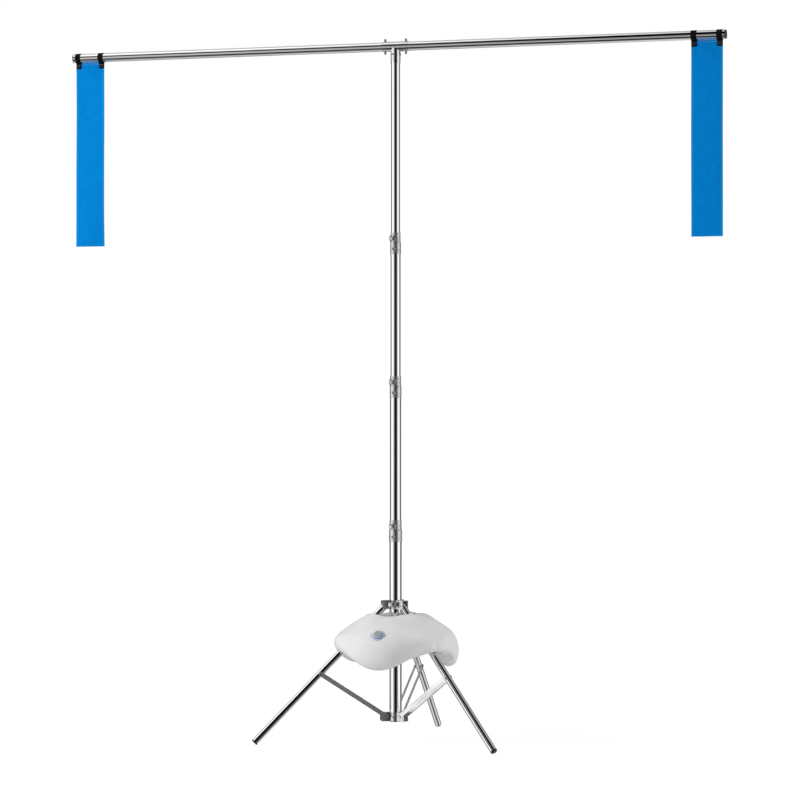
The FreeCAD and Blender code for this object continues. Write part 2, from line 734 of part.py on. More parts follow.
def leg_section():
    """Section over a leg: a thinner pad that lies along the tube."""
    width = bag_leg_reach - bag_leg_rim_reach
    reach_shares = (0.023, 0.0, 0.06, 0.433, 0.823, 0.963, 1.0, 0.963, 0.893, 0.451)
    rim_height = upper_pivot_height - bag_leg_rim_drop
    lift = rim_height - leg_top_height(bag_leg_rim_reach + width * reach_shares[2])
    lift_shares = (0.08, 0.45, 1.0, 2.9, 5.2, 5.3, 2.5, 0.9, 0.1, 0.2)
    points = []
    for reach_share, lift_share in zip(reach_shares, lift_shares):
        reach = bag_leg_rim_reach + width * reach_share
        points.append((reach, leg_top_height(reach) + lift * lift_share))
    return points


def bag_wire(share, azimuth):
    """Closed outline of arcs, blended between the two sections, at an azimuth."""
    low = leg_section()
    high = lobe_section()
    points = []
    for (reach_a, height_a), (reach_b, height_b) in zip(low, high):
        points.append(Vector(reach_a + (reach_b - reach_a) * share, 0,
                             height_a + (height_b - height_a) * share))
    edges = []
    for index in range(0, len(points), 2):
        ends = [points[(index + step) % len(points)] for step in range(3)]
        edges.append(Part.Arc(*ends).toShape())
    wire = Part.Wire(edges)
    wire.rotate(ORIGIN, UP, azimuth)
    return wire


def bag_sector():
    """Third of the ring, from one leg's plane to the next."""
    wires = []
    for index in range(bag_sections_per_lobe):
        turn = index / (bag_sections_per_lobe - 1)
        share = (1.0 - math.cos(2.0 * math.pi * turn)) / 2.0
        wires.append(bag_wire(share, leg_spread * turn))
    return Part.makeLoft(wires, True, False)


def valve_seat():
    """Point on the bag and outward direction of the filler valve."""
    before, seat, after = [Vector(reach, 0, height) for reach, height in lobe_section()[3:6]]
    tangent = (seat - before).normalize() + (after - seat).normalize()
    outward = Vector(-tangent.z, 0, tangent.x).normalize()
    return seat, outward


def valve_flange(floor_point, outward, spread, height):
    """Round flange of the filler valve with an ear on each side, grown by a spread."""
    disc = rod(valve_flange_diameter / 2.0 + spread, floor_point, outward, height)
    ears = [rod(valve_ear_diameter / 2.0 + spread,
                floor_point + ACROSS * (side * valve_flange_diameter / 2.0), outward, height)
            for side in (-1, 1)]
    return disc.fuse(ears).removeSplitter()


def build_ballast():
    """Ring bag with the seat of its valve, the valve and its stopper."""
    sector = bag_sector()
    first, *others = [turned(sector, azimuth) for azimuth in leg_azimuths.values()]
    ring = first.fuse(others).removeSplitter()
    seat, outward = valve_seat()
    floor_point = seat - outward * valve_flange_thickness
    room = valve_flange(floor_point, outward, valve_seat_clearance, bag_reach / 2.0)
    write("ballast_bag", ring.cut(turned(room, valve_azimuth)))
    flange = valve_flange(floor_point, outward, 0, valve_flange_thickness)
    neck = rod(valve_neck_diameter / 2.0, seat, outward, valve_neck_height)
    depth = valve_flange_thickness + valve_neck_height
    bore = rod(valve_bore_diameter / 2.0, floor_point, outward, depth + cut_overrun)
    valve = flange.fuse(neck).cut(bore).removeSplitter()
    write("filler_valve", turned(valve, valve_azimuth))
    rim = seat + outward * valve_neck_height
    head = rod(stopper_head_diameter / 2.0, rim + outward * valve_seat_clearance, outward,
               stopper_head_height)
    plug_length = min(stopper_plug_length, depth - valve_seat_clearance)
    plug = rod(valve_bore_diameter / 2.0 - valve_seat_clearance, rim - outward * plug_length, outward,
               plug_length + valve_seat_clearance)
    write("valve_stopper", turned(head.fuse(plug).removeSplitter(), valve_azimuth))


os.makedirs("parts", exist_ok=True)
build_mast()
build_lower_hub()
build_upper_hub()
build_legs()
build_head()
build_banners()
build_ballast()
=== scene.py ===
# %% [markdown]
# # A telescopic stand with a folding tripod
# The object is a mast of four bright steel tubes that slide into each other, on three
# legs that fold like an umbrella. A tee at the top holds a long cross bar with a blue
# cloth hanging near each end, and a white water bag lies over the legs as ballast.
# The CAD part already has every rigid piece at its real size. This script dresses it:
# it gives each piece its finish, rounds what is rounded on the real object, and
# models the bag, the cloths and the webbing as soft goods.

import json
import math

import bmesh
import bpy
from mathutils import Matrix, Vector

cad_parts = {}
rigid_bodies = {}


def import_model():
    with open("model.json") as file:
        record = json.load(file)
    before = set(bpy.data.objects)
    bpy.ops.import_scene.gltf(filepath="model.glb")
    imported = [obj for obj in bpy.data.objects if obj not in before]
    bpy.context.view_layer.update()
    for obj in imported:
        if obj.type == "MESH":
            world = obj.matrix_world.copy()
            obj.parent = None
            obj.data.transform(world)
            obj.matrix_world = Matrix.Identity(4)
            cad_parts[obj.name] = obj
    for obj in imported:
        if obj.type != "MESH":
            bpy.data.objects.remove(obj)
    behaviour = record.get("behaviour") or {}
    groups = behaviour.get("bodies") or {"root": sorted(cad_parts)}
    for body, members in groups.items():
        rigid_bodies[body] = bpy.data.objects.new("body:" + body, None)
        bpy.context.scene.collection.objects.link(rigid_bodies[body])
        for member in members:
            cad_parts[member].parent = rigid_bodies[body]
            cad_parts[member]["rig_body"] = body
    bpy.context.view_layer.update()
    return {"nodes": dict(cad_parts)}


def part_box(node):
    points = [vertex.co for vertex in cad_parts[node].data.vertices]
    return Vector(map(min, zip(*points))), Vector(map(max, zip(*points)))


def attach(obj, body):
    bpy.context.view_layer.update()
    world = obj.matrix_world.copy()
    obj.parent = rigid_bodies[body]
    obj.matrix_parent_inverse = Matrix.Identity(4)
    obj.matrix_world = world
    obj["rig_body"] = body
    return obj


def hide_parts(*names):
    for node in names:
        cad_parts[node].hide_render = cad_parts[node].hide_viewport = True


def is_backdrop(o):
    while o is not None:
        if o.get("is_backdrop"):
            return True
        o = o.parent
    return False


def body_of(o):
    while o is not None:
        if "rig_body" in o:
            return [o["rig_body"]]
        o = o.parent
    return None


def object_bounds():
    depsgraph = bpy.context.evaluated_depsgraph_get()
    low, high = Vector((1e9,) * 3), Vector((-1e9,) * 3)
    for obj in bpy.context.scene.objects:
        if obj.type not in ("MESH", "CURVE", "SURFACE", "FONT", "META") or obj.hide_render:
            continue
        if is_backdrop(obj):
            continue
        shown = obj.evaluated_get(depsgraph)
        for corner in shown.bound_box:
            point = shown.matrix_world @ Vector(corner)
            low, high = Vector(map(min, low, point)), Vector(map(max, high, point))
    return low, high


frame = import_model()
nodes = frame["nodes"]
scene = bpy.context.scene
scene.view_settings.view_transform = "Standard"

# %% [markdown]
# ## Sizes
# Everything is in metres in the CAD frame: the mast stands on the origin, the bar runs
# along X and Z is up. Sizes are read from the boxes of the CAD nodes wherever a piece
# has to fit one, so a size lives in one place only.

# %% Sizes read from the CAD nodes
UP = Vector((0, 0, 1))
ALONG_BAR = Vector((1, 0, 0))
TO_FRONT = Vector((0, -1, 0))
LEG_AZIMUTHS = {"left": -150.0, "right": -30.0, "rear": 90.0}


def middle(node):
    """Middle of a CAD node's box."""
    low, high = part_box(node)
    return (low + high) / 2


def extent(node):
    """Size of a CAD node's box."""
    low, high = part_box(node)
    return high - low


def outward(azimuth):
    """Unit vector away from the mast at an azimuth in degrees."""
    return Vector((math.cos(math.radians(azimuth)), math.sin(math.radians(azimuth)), 0))


bar_radius = extent("arm_right").z / 2
bar_height = middle("arm_right").z
hub_pivot_reach = 0.0285
hub_pivot_height = middle("upper_hub_pins").z
print("bar radius", round(bar_radius, 5), "bar height", round(bar_height, 4))
print("hub pivots at height", round(hub_pivot_height, 4))

# %% [markdown]
# ## Camera
# The photograph was taken with a long lens from about eight metres, level with the
# middle of the mast and a little to the right of the front. A long lens keeps the
# upright mast and the far ends of the bar nearly free of perspective.

# %% Camera
view_yaw = math.radians(18.22)
view_pitch = math.radians(-0.12)
camera_distance = 8.3516
camera_height = 0.9595
to_camera = Vector((math.sin(view_yaw), -math.cos(view_yaw), 0))
camera_data = bpy.data.cameras.new("photo_camera")
camera_data.sensor_width = 36.0
camera_data.lens = 136.19
camera_data.shift_x = 0.0055
camera_data.clip_end = 60.0
camera = bpy.data.objects.new("photo_camera", camera_data)
scene.collection.objects.link(camera)
camera.location = to_camera * camera_distance + UP * camera_height
camera.rotation_euler = (math.radians(90) + view_pitch, 0, view_yaw)
scene.camera = camera
print("camera at", tuple(round(value, 3) for value in camera.location))

# %% [markdown]
# ## Shader maths as expressions
# A procedural finish is mostly arithmetic on textures. A small class wraps one output of
# a node, and adding or multiplying two of them adds a Math node, so a finish reads like
# a formula. A second class holds the node tree under construction, and a third is a
# material with one Principled shader.

# %% Wrappers for sockets, trees and materials
def join(tree, slot, value):
    """Link a wire to an input, or set the input's own value."""
    if isinstance(value, Wire):
        tree.links.new(value.socket, slot)
    else:
        slot.default_value = value


class Wire:
    """One output of a node, with arithmetic that adds Math nodes."""

    def __init__(self, tree, socket):
        self.tree = tree
        self.socket = socket

    def math(self, operation, *values):
        made = self.tree.nodes.new("ShaderNodeMath")
        made.operation = operation
        for slot, value in zip(made.inputs, values or [self]):
            join(self.tree, slot, value)
        return Wire(self.tree, made.outputs[0])

    def __add__(self, other):
        return self.math("ADD", self, other)

    def __radd__(self, other):
        return self.math("ADD", other, self)

    def __sub__(self, other):
        return self.math("SUBTRACT", self, other)

    def __rsub__(self, other):
        return self.math("SUBTRACT", other, self)

    def __mul__(self, other):
        return self.math("MULTIPLY", self, other)

    def __rmul__(self, other):
        return self.math("MULTIPLY", other, self)

    def __truediv__(self, other):
        return self.math("DIVIDE", self, other)

    def __abs__(self):
        return self.math("ABSOLUTE", self)

    def least(self, other):
        return self.math("MINIMUM", self, other)

    def most(self, other):
        return self.math("MAXIMUM", self, other)

    def sine(self):
        return self.math("SINE", self)

    def above(self, low, high):
        """0 below low, 1 above high, smooth between."""
        made = self.tree.nodes.new("ShaderNodeMapRange")
        made.interpolation_type = "SMOOTHSTEP"
        join(self.tree, made.inputs["Value"], self)
        made.inputs["From Min"].default_value = low
        made.inputs["From Max"].default_value = high
        return Wire(self.tree, made.outputs["Result"])

    def steps(self, *stops):
        """Straight lines through (input, output) stops."""
        low, high = stops[0][0], stops[-1][0]
        made = self.tree.nodes.new("ShaderNodeValToRGB")
        join(self.tree, made.inputs[0], (self - low) / (high - low))
        while len(made.color_ramp.elements) < len(stops):
            made.color_ramp.elements.new(1.0)
        for element, (place, level) in zip(made.color_ramp.elements, stops):
            element.position = (place - low) / (high - low)
            element.color = (level, level, level, 1)
        return Wire(self.tree, made.outputs[0])


class Graph:
    """A node tree under construction."""

    def __init__(self, tree):
        self.tree = tree

    def node(self, kind, settings=None, sockets=None, output=0):
        """Add a node with its settings, and the values or links of its sockets."""
        made = self.tree.nodes.new("ShaderNode" + kind)
        for key, value in (settings or {}).items():
            setattr(made, key, value)
        for key, value in (sockets or {}).items():
            join(self.tree, made.inputs[key], value)
        return Wire(self.tree, made.outputs[output])

    def dot(self, where, direction):
        """How far a place or direction reaches along a unit vector."""
        settings = {"operation": "DOT_PRODUCT"}
        return self.node("VectorMath", settings, {0: where, 1: tuple(direction)}, output="Value")

    def blend(self, amount, first, second):
        """Mix of two colours."""
        return self.node("Mix", {"data_type": "RGBA"}, {0: amount, 6: first, 7: second}, output=2)


class Finish(Graph):
    """A material with one Principled shader."""

    def __init__(self, name, **sockets):
        self.material = bpy.data.materials.new(name)
        self.material.use_nodes = True
        super().__init__(self.material.node_tree)
        self.shader = self.tree.nodes["Principled BSDF"]
        for key, value in sockets.items():
            self.feed(key.replace("_", " ").title().replace("Ior", "IOR"), value)

    def feed(self, slot, value):
        join(self.tree, self.shader.inputs[slot], value)

    def here(self):
        """Place on the piece, in metres."""
        return self.node("TexCoord", output="Object")

    def grain(self, direction=None, across=1000.0, along=None, detail=2.0, roughness=0.5):
        """Grey noise about 0.5 with so many cells per metre, drawn out along a direction."""
        where = self.here()
        if direction is not None:
            turn = Vector(direction).rotation_difference(UP).to_euler()
            where = self.node("Mapping", {}, {"Vector": where, "Rotation": tuple(turn)})
        stretch = (across, across, across if along is None else along)
        where = self.node("VectorMath", {"operation": "MULTIPLY"}, {0: where, 1: stretch})
        values = {"Vector": where, "Scale": 1.0, "Detail": detail, "Roughness": roughness}
        return self.node("TexNoise", {}, values)

    def bump(self, height, strength, distance):
        """Raise the surface by a height times a distance in metres."""
        values = {"Height": height, "Strength": strength, "Distance": distance}
        self.feed("Normal", self.node("Bump", {}, values))


def grey(level):
    """A neutral colour."""
    return (level, level, level, 1)


# %% [markdown]
# ## Studio
# Bright metal shows its surroundings and nothing else, so the studio is part of its
# look. Directions are told by their turn from the camera and their lift above level, in
# degrees. Metal sees pale walls with dark strips at set turns, which give each upright
# tube its black line between two white ones. Above and below them are three more walls,
# in front, to the right and to the left, which the bar, the legs and the fittings show.
# Cloth and plastic see an even soft light instead, and two large lamps model the bag.

# %% World, lamps and floor
world = bpy.data.worlds.new("studio")
scene.world = world
world.use_nodes = True
world.cycles.sampling_method = "NONE"
room = Graph(world.node_tree)
direction = room.node("TexCoord", output="Generated")
camera_right = Vector((math.cos(view_yaw), math.sin(view_yaw), 0))
sideways = room.dot(direction, camera_right)
towards = room.dot(direction, to_camera)
turn = sideways.math("ARCTAN2", sideways, towards) * math.degrees(1)
height = room.dot(direction, UP)
lift = height.math("ARCSINE", height) * math.degrees(1)


def mixed(amount, first, second):
    """First where the amount is 0, second where it is 1."""
    return first + (second - first) * amount


level_walls = turn.steps((-180, 0.30), (-154, 0.30), (-142, 0.0), (-110, 0.0), (-102, 1.0), (-54, 1.0),
                         (-42, 0.50), (-32, 0.22), (-14, 0.03), (-4, 0.0), (12, 0.0), (24, 0.07),
                         (36, 0.30), (50, 0.90), (58, 1.0), (88, 1.0), (98, 0.15), (128, 0.05), (140, 0.30),
                         (180, 0.30))
front_wall = lift.steps((-90, 0.25), (-74, 0.14), (-62, 0.06), (-50, 0.0), (-40, 0.0), (-30, 0.20),
                        (-18, 0.58), (-8, 0.62), (0, 0.50), (8, 0.22), (16, 0.03), (24, 0.0), (32, 0.05),
                        (40, 0.50), (48, 1.0), (66, 1.0), (78, 0.55), (90, 0.35))
right_wall = lift.steps((-90, 0.40), (-82, 0.14), (-71, 0.05), (-60, 0.12), (-49, 0.40), (-38, 0.72),
                        (-26, 0.70), (-16, 0.40), (-8, 0.28), (20, 0.26), (45, 0.30), (90, 0.30))
left_wall = lift.steps((-90, 0.40), (-82, 0.60), (-72, 0.78), (-62, 0.60), (-46, 0.24), (-28, 0.22),
                       (20, 0.32), (40, 0.55), (70, 0.40), (90, 0.35))
lean = turn + lift * 0.3
camera_side = lean.above(-40, -26) * (1.0 - turn.above(42, 76)) * lift.above(-40, -26)
front = mixed(camera_side, front_wall + 0.16 * (1.0 - turn.above(-75, -48)), 0.0)
above_and_below = mixed(turn.above(60, 84), mixed(turn.above(-125, -108), left_wall, front), right_wall)
level = lift.above(-22, -11) * (1.0 - lift.above(6, 14))
seen_in_metal = mixed(level, above_and_below, level_walls)
ray = "Is Camera Ray", "Is Glossy Ray", "Is Transmission Ray"
is_camera, is_glossy, is_through = [room.node("LightPath", output=name) for name in ray]
in_metal = is_glossy.most(is_through)
even_light = 0.52
metal_light = 1.08
indirect = in_metal * seen_in_metal * metal_light + (1.0 - in_metal) * even_light
strength = is_camera + (1.0 - is_camera) * indirect
backdrop = world.node_tree.nodes["Background"]
backdrop.inputs["Color"].default_value = (1, 1, 1, 1)
join(world.node_tree, backdrop.inputs["Strength"], strength)


def soft_box(name, place, power):
    """Large square lamp aimed at the bag, which metal doesn't show."""
    lamp_data = bpy.data.lights.new(name, "AREA")
    lamp_data.shape = "SQUARE"
    lamp_data.size = 2.6
    lamp_data.energy = power
    lamp = bpy.data.objects.new(name, lamp_data)
    scene.collection.objects.link(lamp)
    lamp.location = place
    lamp.rotation_euler = (Vector((0, 0, 0.5)) - place).to_track_quat("-Z", "Y").to_euler()
    lamp.visible_glossy = False
    lamp.visible_camera = False


soft_box("left_soft_box", to_camera * 1.1 - camera_right * 6.2 + UP * 3.6, 310.0)
soft_box("right_soft_box", to_camera * -0.7 + camera_right * 6.6 + UP * 2.5, 210.0)

floor_shape = bmesh.new()
bmesh.ops.create_circle(floor_shape, cap_ends=True, segments=96, radius=9.0)
floor_mesh = bpy.data.meshes.new("floor")
floor_shape.to_mesh(floor_mesh)
floor_shape.free()
floor = bpy.data.objects.new("floor", floor_mesh)
scene.collection.objects.link(floor)
floor.location.z = -0.0004
floor.visible_glossy = False
floor_finish = Finish("pale_floor", roughness=0.9)
floor_finish.feed("Base Color", grey(0.8))
glow = floor_finish.node("Emission", {}, {"Color": grey(1.0), "Strength": 1.06})
far = floor_finish.node("VectorMath", {"operation": "LENGTH"}, {0: floor_finish.here()}, output="Value")
seen = floor_finish.node("LightPath", output="Is Camera Ray")
share = seen * (0.86 + 0.14 * far.above(0.7, 1.8))
surface = floor_finish.tree.nodes["Material Output"].inputs["Surface"]
lit = Wire(floor_finish.tree, floor_finish.shader.outputs[0])
join(floor_finish.tree, surface, floor_finish.node("MixShader", {}, {0: share, 1: lit, 2: glow}))
floor_mesh.materials.append(floor_finish.material)
floor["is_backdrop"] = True
print("studio ready")

# %% [markdown]
# ## Bright steel tube
# The tubes are thin stainless steel, drawn and then buffed to a mirror. A perfect mirror
# looks false, so three things vary here: very fine lines along the tube from drawing,
# soft smudges from hands that raise the roughness, and a few lengthways scratches where
# a tube slides through its collar. The pattern is turned to the tube's own direction
# before it is drawn out.

# %% Polished tube finish
def polished_tube(name, direction, tone=0.93, gloss=0.03):
    """Buffed stainless tube with its drawing lines along a direction."""
    finish = Finish(name, metallic=1.0)
    lines = finish.grain(direction, 1400, 4, detail=3.0)
    fine = finish.grain(direction, 5200, 14, detail=1.0)
    smudge = finish.grain(direction, 26, 9, detail=4.0).above(0.45, 0.75)
    scratch = fine.above(0.66, 0.74) * finish.grain(direction, 40, 15).above(0.5, 0.65)
    finish.feed("Roughness", gloss + 0.02 * lines + 0.035 * smudge + 0.10 * scratch)
    worn = (tone * 0.93, tone * 0.94, tone * 0.96, 1)
    finish.feed("Base Color", finish.blend(smudge * 0.6 + scratch * 0.4, grey(tone), worn))
    finish.bump(lines + fine * 0.5, 0.05, 0.0001)
    return finish.material


def leg_pivot(side):
    """Pivot of a leg in the sliding hub."""
    return outward(LEG_AZIMUTHS[side]) * hub_pivot_reach + UP * hub_pivot_height


def leg_direction(side):
    """Unit vector down a leg, from its hub pivot to its brace pivot."""
    return (middle("leg_pin_" + side) - leg_pivot(side)).normalized()


upright_chrome = polished_tube("chrome_upright", UP)
bar_chrome = polished_tube("chrome_bar", ALONG_BAR)
leg_chrome = {side: polished_tube("chrome_leg_" + side, leg_direction(side)) for side in LEG_AZIMUTHS}
for side in LEG_AZIMUTHS:
    print("leg", side, "runs along", tuple(round(value, 3) for value in leg_direction(side)))

# %% [markdown]
# ## Pressed steel, strip and plastics
# The hubs and collars are pressed from sheet and only tumbled bright, so they are a
# little rougher than the tubes and slightly wavy. The straps are rolled strip with
# lines along them. The plugs are moulded black plastic with a fine grain. Each finish
# has its own scale, taken from how the real piece is made.

# %% Fittings' finishes
def pressed_steel(name, tone, rough, pits_per_metre=900.0):
    """Sheet steel after pressing and tumbling: slightly wavy, with fine pits."""
    finish = Finish(name, metallic=1.0)
    wave = finish.grain(None, 70)
    pits = finish.grain(None, pits_per_metre, detail=3.0, roughness=0.6)
    dull = finish.grain(None, 160, detail=4.0).above(0.42, 0.72)
    finish.feed("Roughness", rough + 0.10 * dull + 0.06 * pits)
    finish.feed("Base Color", finish.blend(dull, grey(tone), (tone * 0.84, tone * 0.84, tone * 0.86, 1)))
    finish.bump(wave + 0.25 * pits, 0.12, 0.0004)
    return finish.material


wing_half_waist = 0.0025
wing_edge_slope = 0.765


def wing_finish_with_edge_shade(name, height):
    """Cast wings of a screw at a height: bright, with painted shade darkening them along their slanting
    edges.
    """
    finish = Finish(name, metallic=1.0)
    pits = finish.grain(None, 1500, detail=3.0, roughness=0.6)
    x, z = [finish.dot(finish.here(), axis) for axis in (ALONG_BAR, UP)]
    half_height = wing_half_waist + abs(x) * wing_edge_slope
    from_edge = half_height - abs(z - height)
    # Painted shade: a dark band along the wings' slanting edges, away from the waist.
    dark = (1.0 - from_edge.above(0.0010, 0.0024)) * abs(x).above(0.0012, 0.0024)
    finish.feed("Base Color", finish.blend(dark, grey(0.80), grey(0.05)))
    finish.feed("Roughness", 0.16 + 0.10 * pits)
    finish.bump(pits, 0.12, 0.0004)
    return finish.material


def strap_steel(name, direction, rough):
    """Rolled strip: satin, with rolling lines along it."""
    finish = Finish(name, metallic=1.0)
    lines = finish.grain(direction, 1800, 18, detail=3.0)
    patch = finish.grain(direction, 90, 30, detail=3.0).above(0.4, 0.7)
    finish.feed("Roughness", rough + 0.08 * lines + 0.06 * patch)
    finish.feed("Base Color", finish.blend(patch, grey(0.92), grey(0.86)))
    finish.bump(lines, 0.015, 0.0002)
    return finish.material


def moulded(name, colour, rough):
    """Moulded plastic with the mould's fine grain and faint handling marks."""
    finish = Finish(name)
    pits = finish.grain(None, 2200.0, roughness=0.7)
    marks = finish.grain(None, 130, detail=4.0).above(0.5, 0.75)
    lighter = tuple(min(1.0, part * 1.25 + 0.01) for part in colour[:3]) + (1,)
    finish.feed("Base Color", finish.blend(marks * 0.6, colour, lighter))
    finish.feed("Roughness", rough + 0.10 * marks + 0.05 * pits)
    finish.bump(pits, 0.10, 0.0002)
    return finish.material


collar_steel = pressed_steel("collar_steel", 0.92, 0.34)
hub_steel = pressed_steel("hub_steel", 0.90, 0.30)
# Near-black steel used only as painted shade: on the wing screws' rims, at their centres and inside the
# hollow rivets.
painted_shade_steel = pressed_steel("painted_shade_steel", 0.06, 0.40, 1500.0)
rivet_steel = pressed_steel("rivet_steel", 0.70, 0.15, 1500.0)
spring_steel = pressed_steel("spring_steel", 0.42, 0.30)
button_steel = pressed_steel("button_steel", 0.50, 0.14, 1500.0)
tee_chrome = pressed_steel("tee_chrome", 0.88, 0.055)
black_plug = moulded("black_plug", (0.012, 0.012, 0.013, 1), 0.22)
print("finishes so far", len(bpy.data.materials))

# %% [markdown]
# ## Ways to make a hard piece
# A turned piece starts as a line of points that is spun round an axis, as on a lathe.
# A pressed piece starts as a copy of its CAD solid: the copy's triangles are merged into
# flat faces, and its sharp edges get a small bevel, because real sheet edges catch a
# line of light. Both keep their object at the origin, with their place in their mesh.
# Round faces of a copy get the exact normals of their cylinder, or a mirror would show
# its facets.

# %% Helpers for hard pieces
def soften(shape, width, segments=2, above=35.0):
    """Bevel the edges of a bmesh that turn by more than an angle."""
    limit = math.radians(above)
    sharp = [edge for edge in shape.edges if len(edge.link_faces) == 2 and edge.calc_face_angle() > limit]
    bmesh.ops.bevel(shape, geom=sharp, offset=width, offset_type="OFFSET", segments=segments, profile=0.5,
                    affect="EDGES", clamp_overlap=True, material=-1)


def aimed(shape, start, direction):
    """Turn a bmesh from +Z to a direction and move it to its start."""
    turn = Vector(direction).to_track_quat("Z", "Y").to_matrix().to_4x4()
    bmesh.ops.transform(shape, matrix=Matrix.Translation(start) @ turn, verts=shape.verts)
    return shape


def lathe(profile, steps=64, closed=False):
    """Spin (height, radius) points about Z. A closed profile makes a ring or tube."""
    shape = bmesh.new()
    points = [shape.verts.new((radius, 0, height)) for height, radius in profile]
    pairs = list(zip(points, points[1:]))
    if closed:
        pairs.append((points[-1], points[0]))
    edges = [shape.edges.new(pair) for pair in pairs]
    bmesh.ops.spin(shape, geom=points + edges, cent=(0, 0, 0), axis=UP, dvec=(0, 0, 0),
                   angle=2 * math.pi, steps=steps, use_merge=True, use_duplicate=False)
    bmesh.ops.remove_doubles(shape, verts=shape.verts, dist=1e-7)
    bmesh.ops.recalc_face_normals(shape, faces=shape.faces)
    return shape


def joined(shapes):
    """Several bmeshes as one."""
    whole = bmesh.new()
    for shape in shapes:
        carrier = bpy.data.meshes.new("carrier")
        shape.to_mesh(carrier)
        shape.free()
        whole.from_mesh(carrier)
        bpy.data.meshes.remove(carrier)
    return whole


def settle(name, shape, material, body, stands_for=(), crease=18.0):
    """Turn a bmesh into a finished piece that rides on a body."""
    mesh = bpy.data.meshes.new(name)
    shape.to_mesh(mesh)
    shape.free()
    mesh.shade_smooth()
    mesh.set_sharp_from_angle(angle=math.radians(crease))
    mesh.materials.append(material)
    piece = bpy.data.objects.new(name, mesh)
    scene.collection.objects.link(piece)
    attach(piece, body)
    if stands_for:
        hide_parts(*stands_for)
    return piece


def copy_of(node):
    """Merged copy of a CAD node's mesh, with its flat faces whole again."""
    shape = bmesh.new()
    shape.from_mesh(nodes[node].data)
    bmesh.ops.remove_doubles(shape, verts=shape.verts, dist=1e-6)
    bmesh.ops.dissolve_limit(shape, angle_limit=math.radians(0.5), verts=shape.verts, edges=shape.edges)
    return shape


def carrier_of(node):
    """Body that a CAD node rides on."""
    return body_of(nodes[node])[0]


def refined(node, material, width=0.0003, segments=2, above=35.0):
    """A CAD node's shape with rounded edges, in its finish."""
    shape = copy_of(node)
    soften(shape, width, segments, above)
    return settle(node + "_finished", shape, material, carrier_of(node), (node,))


def true_round(piece, *axes):
    """Exact normals on the round faces of a piece, from the (start, direction) of its axes."""
    mesh = piece.data
    normals = [Vector(corner.vector) for corner in mesh.corner_normals]

    def off_axis(place, axis):
        start, along = axis
        off = place - start
        return (off - along * off.dot(along)).normalized()

    for face in mesh.polygons:
        axis = max(axes, key=lambda axis: abs(face.normal.dot(off_axis(face.center, axis))))
        side = face.normal.dot(off_axis(face.center, axis))
        if abs(side) > 0.97:
            for corner in face.loop_indices:
                place = mesh.vertices[mesh.loops[corner].vertex_index].co
                normals[corner] = off_axis(place, axis) * math.copysign(1, side)
    mesh.normals_split_custom_set(normals)


def rims_in_painted_shade(piece, material):
    """Give the faces that don't look to the front or back another finish: the near-black steel that paints
    shade on the rims.
    """
    piece.data.materials.append(material)
    for face in piece.data.polygons:
        if abs(face.normal.dot(TO_FRONT)) < 0.96:
            face.material_index = 1


def rivet_hollow_shade(node):
    """Near-black disc inside the hollow rivet that faces the front, as painted shade in its bore."""
    front = outward(-90)
    shade_disc = lathe([(0, 0), (0, 0.00155), (0.0015, 0.00155), (0.0020, 0.0010), (0.0021, 0)], 24)
    shade_disc_place = front * (-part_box(node)[0].y - 0.0032) + UP * middle(node).z
    settle(node + "_hollow_shade", aimed(shade_disc, shade_disc_place, front), painted_shade_steel, carrier_of(node), ())


# %% [markdown]
# ## Mast and bar tubes
# Each tube is a plain pipe whose cut ends were deburred, so a lathe profile with softened
# ends is all it needs. The steps of the spin are many, because a mirror shows every
# facet of a tube as a kink in its reflections.

# %% Mast tubes and bar arms
tube_wall = 0.0012
end_break = 0.00025


def pipe(start, end, radius):
    """Round tube from start to end with softened ends."""
    length = (end - start).length
    bore = radius - tube_wall
    shape = lathe([(0, radius), (length, radius), (length, bore), (0, bore)], 96, closed=True)
    soften(shape, end_break, segments=2, above=60.0)
    return aimed(shape, start, end - start)


for name in ("lower", "middle", "upper", "top"):
    node = "mast_tube_" + name
    low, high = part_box(node)
    shape = pipe(Vector((0, 0, low.z)), Vector((0, 0, high.z)), high.x)
    settle(node + "_finished", shape, upright_chrome, carrier_of(node), (node,))
    print(node, "diameter", round(high.x * 2000, 2), "mm, length", round(high.z - low.z, 3), "m")

for side in ("left", "right"):
    node = "arm_" + side
    low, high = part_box(node)
    shape = pipe(Vector((low.x, 0, bar_height)), Vector((high.x, 0, bar_height)), bar_radius)
    settle(node + "_finished", shape, bar_chrome, carrier_of(node), (node,))
    print(node, "length", round(high.x - low.x, 3), "m")

# %% [markdown]
# ## Collars, screws, hubs and straps
# These pieces are pressed, riveted or cast, with holes and bosses that the CAD solid
# already has. A copy of each solid with a small bevel keeps every hole true to its pin.
# The bevel's width is the real edge break of the piece: about a third of a millimetre on
# sheet, and more on the cast wings of the screws.

# %% Fittings from their CAD solids
mast_line = (Vector((0, 0, 0)), UP)
bar_line = (UP * bar_height, ALONG_BAR)
for name in ("lower", "middle", "upper"):
    true_round(refined("collar_" + name, collar_steel, 0.0003), mast_line)
    node = "collar_rivet_" + name
    refined(node, rivet_steel, 0.0002)
    rivet_hollow_shade(node)
for name in ("lower", "middle", "upper", "hub"):
    node = "wing_screw_" + name
    cast = wing_finish_with_edge_shade("wing_" + name, middle(node).z)
    rims_in_painted_shade(refined(node, cast, 0.0005, segments=3), painted_shade_steel)
    # Painted shade: a near-black disc in the middle of each screw's front stands in for the shade at its
    # centre.
    front = Vector((0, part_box(node)[0].y + 0.0004, middle(node).z))
    disc = lathe([(0, 0), (0, 0.0015), (0.0004, 0.0015), (0.0006, 0.0012), (0.0006, 0)], 24)
    settle("screw_centre_shade_" + name, aimed(disc, front, TO_FRONT), painted_shade_steel, carrier_of(node), ())
true_round(refined("tee_head", tee_chrome, 0.0003), mast_line, bar_line)
refined("tee_rivets", rivet_steel, 0.0002)
refined("upper_hub", hub_steel, 0.0004)
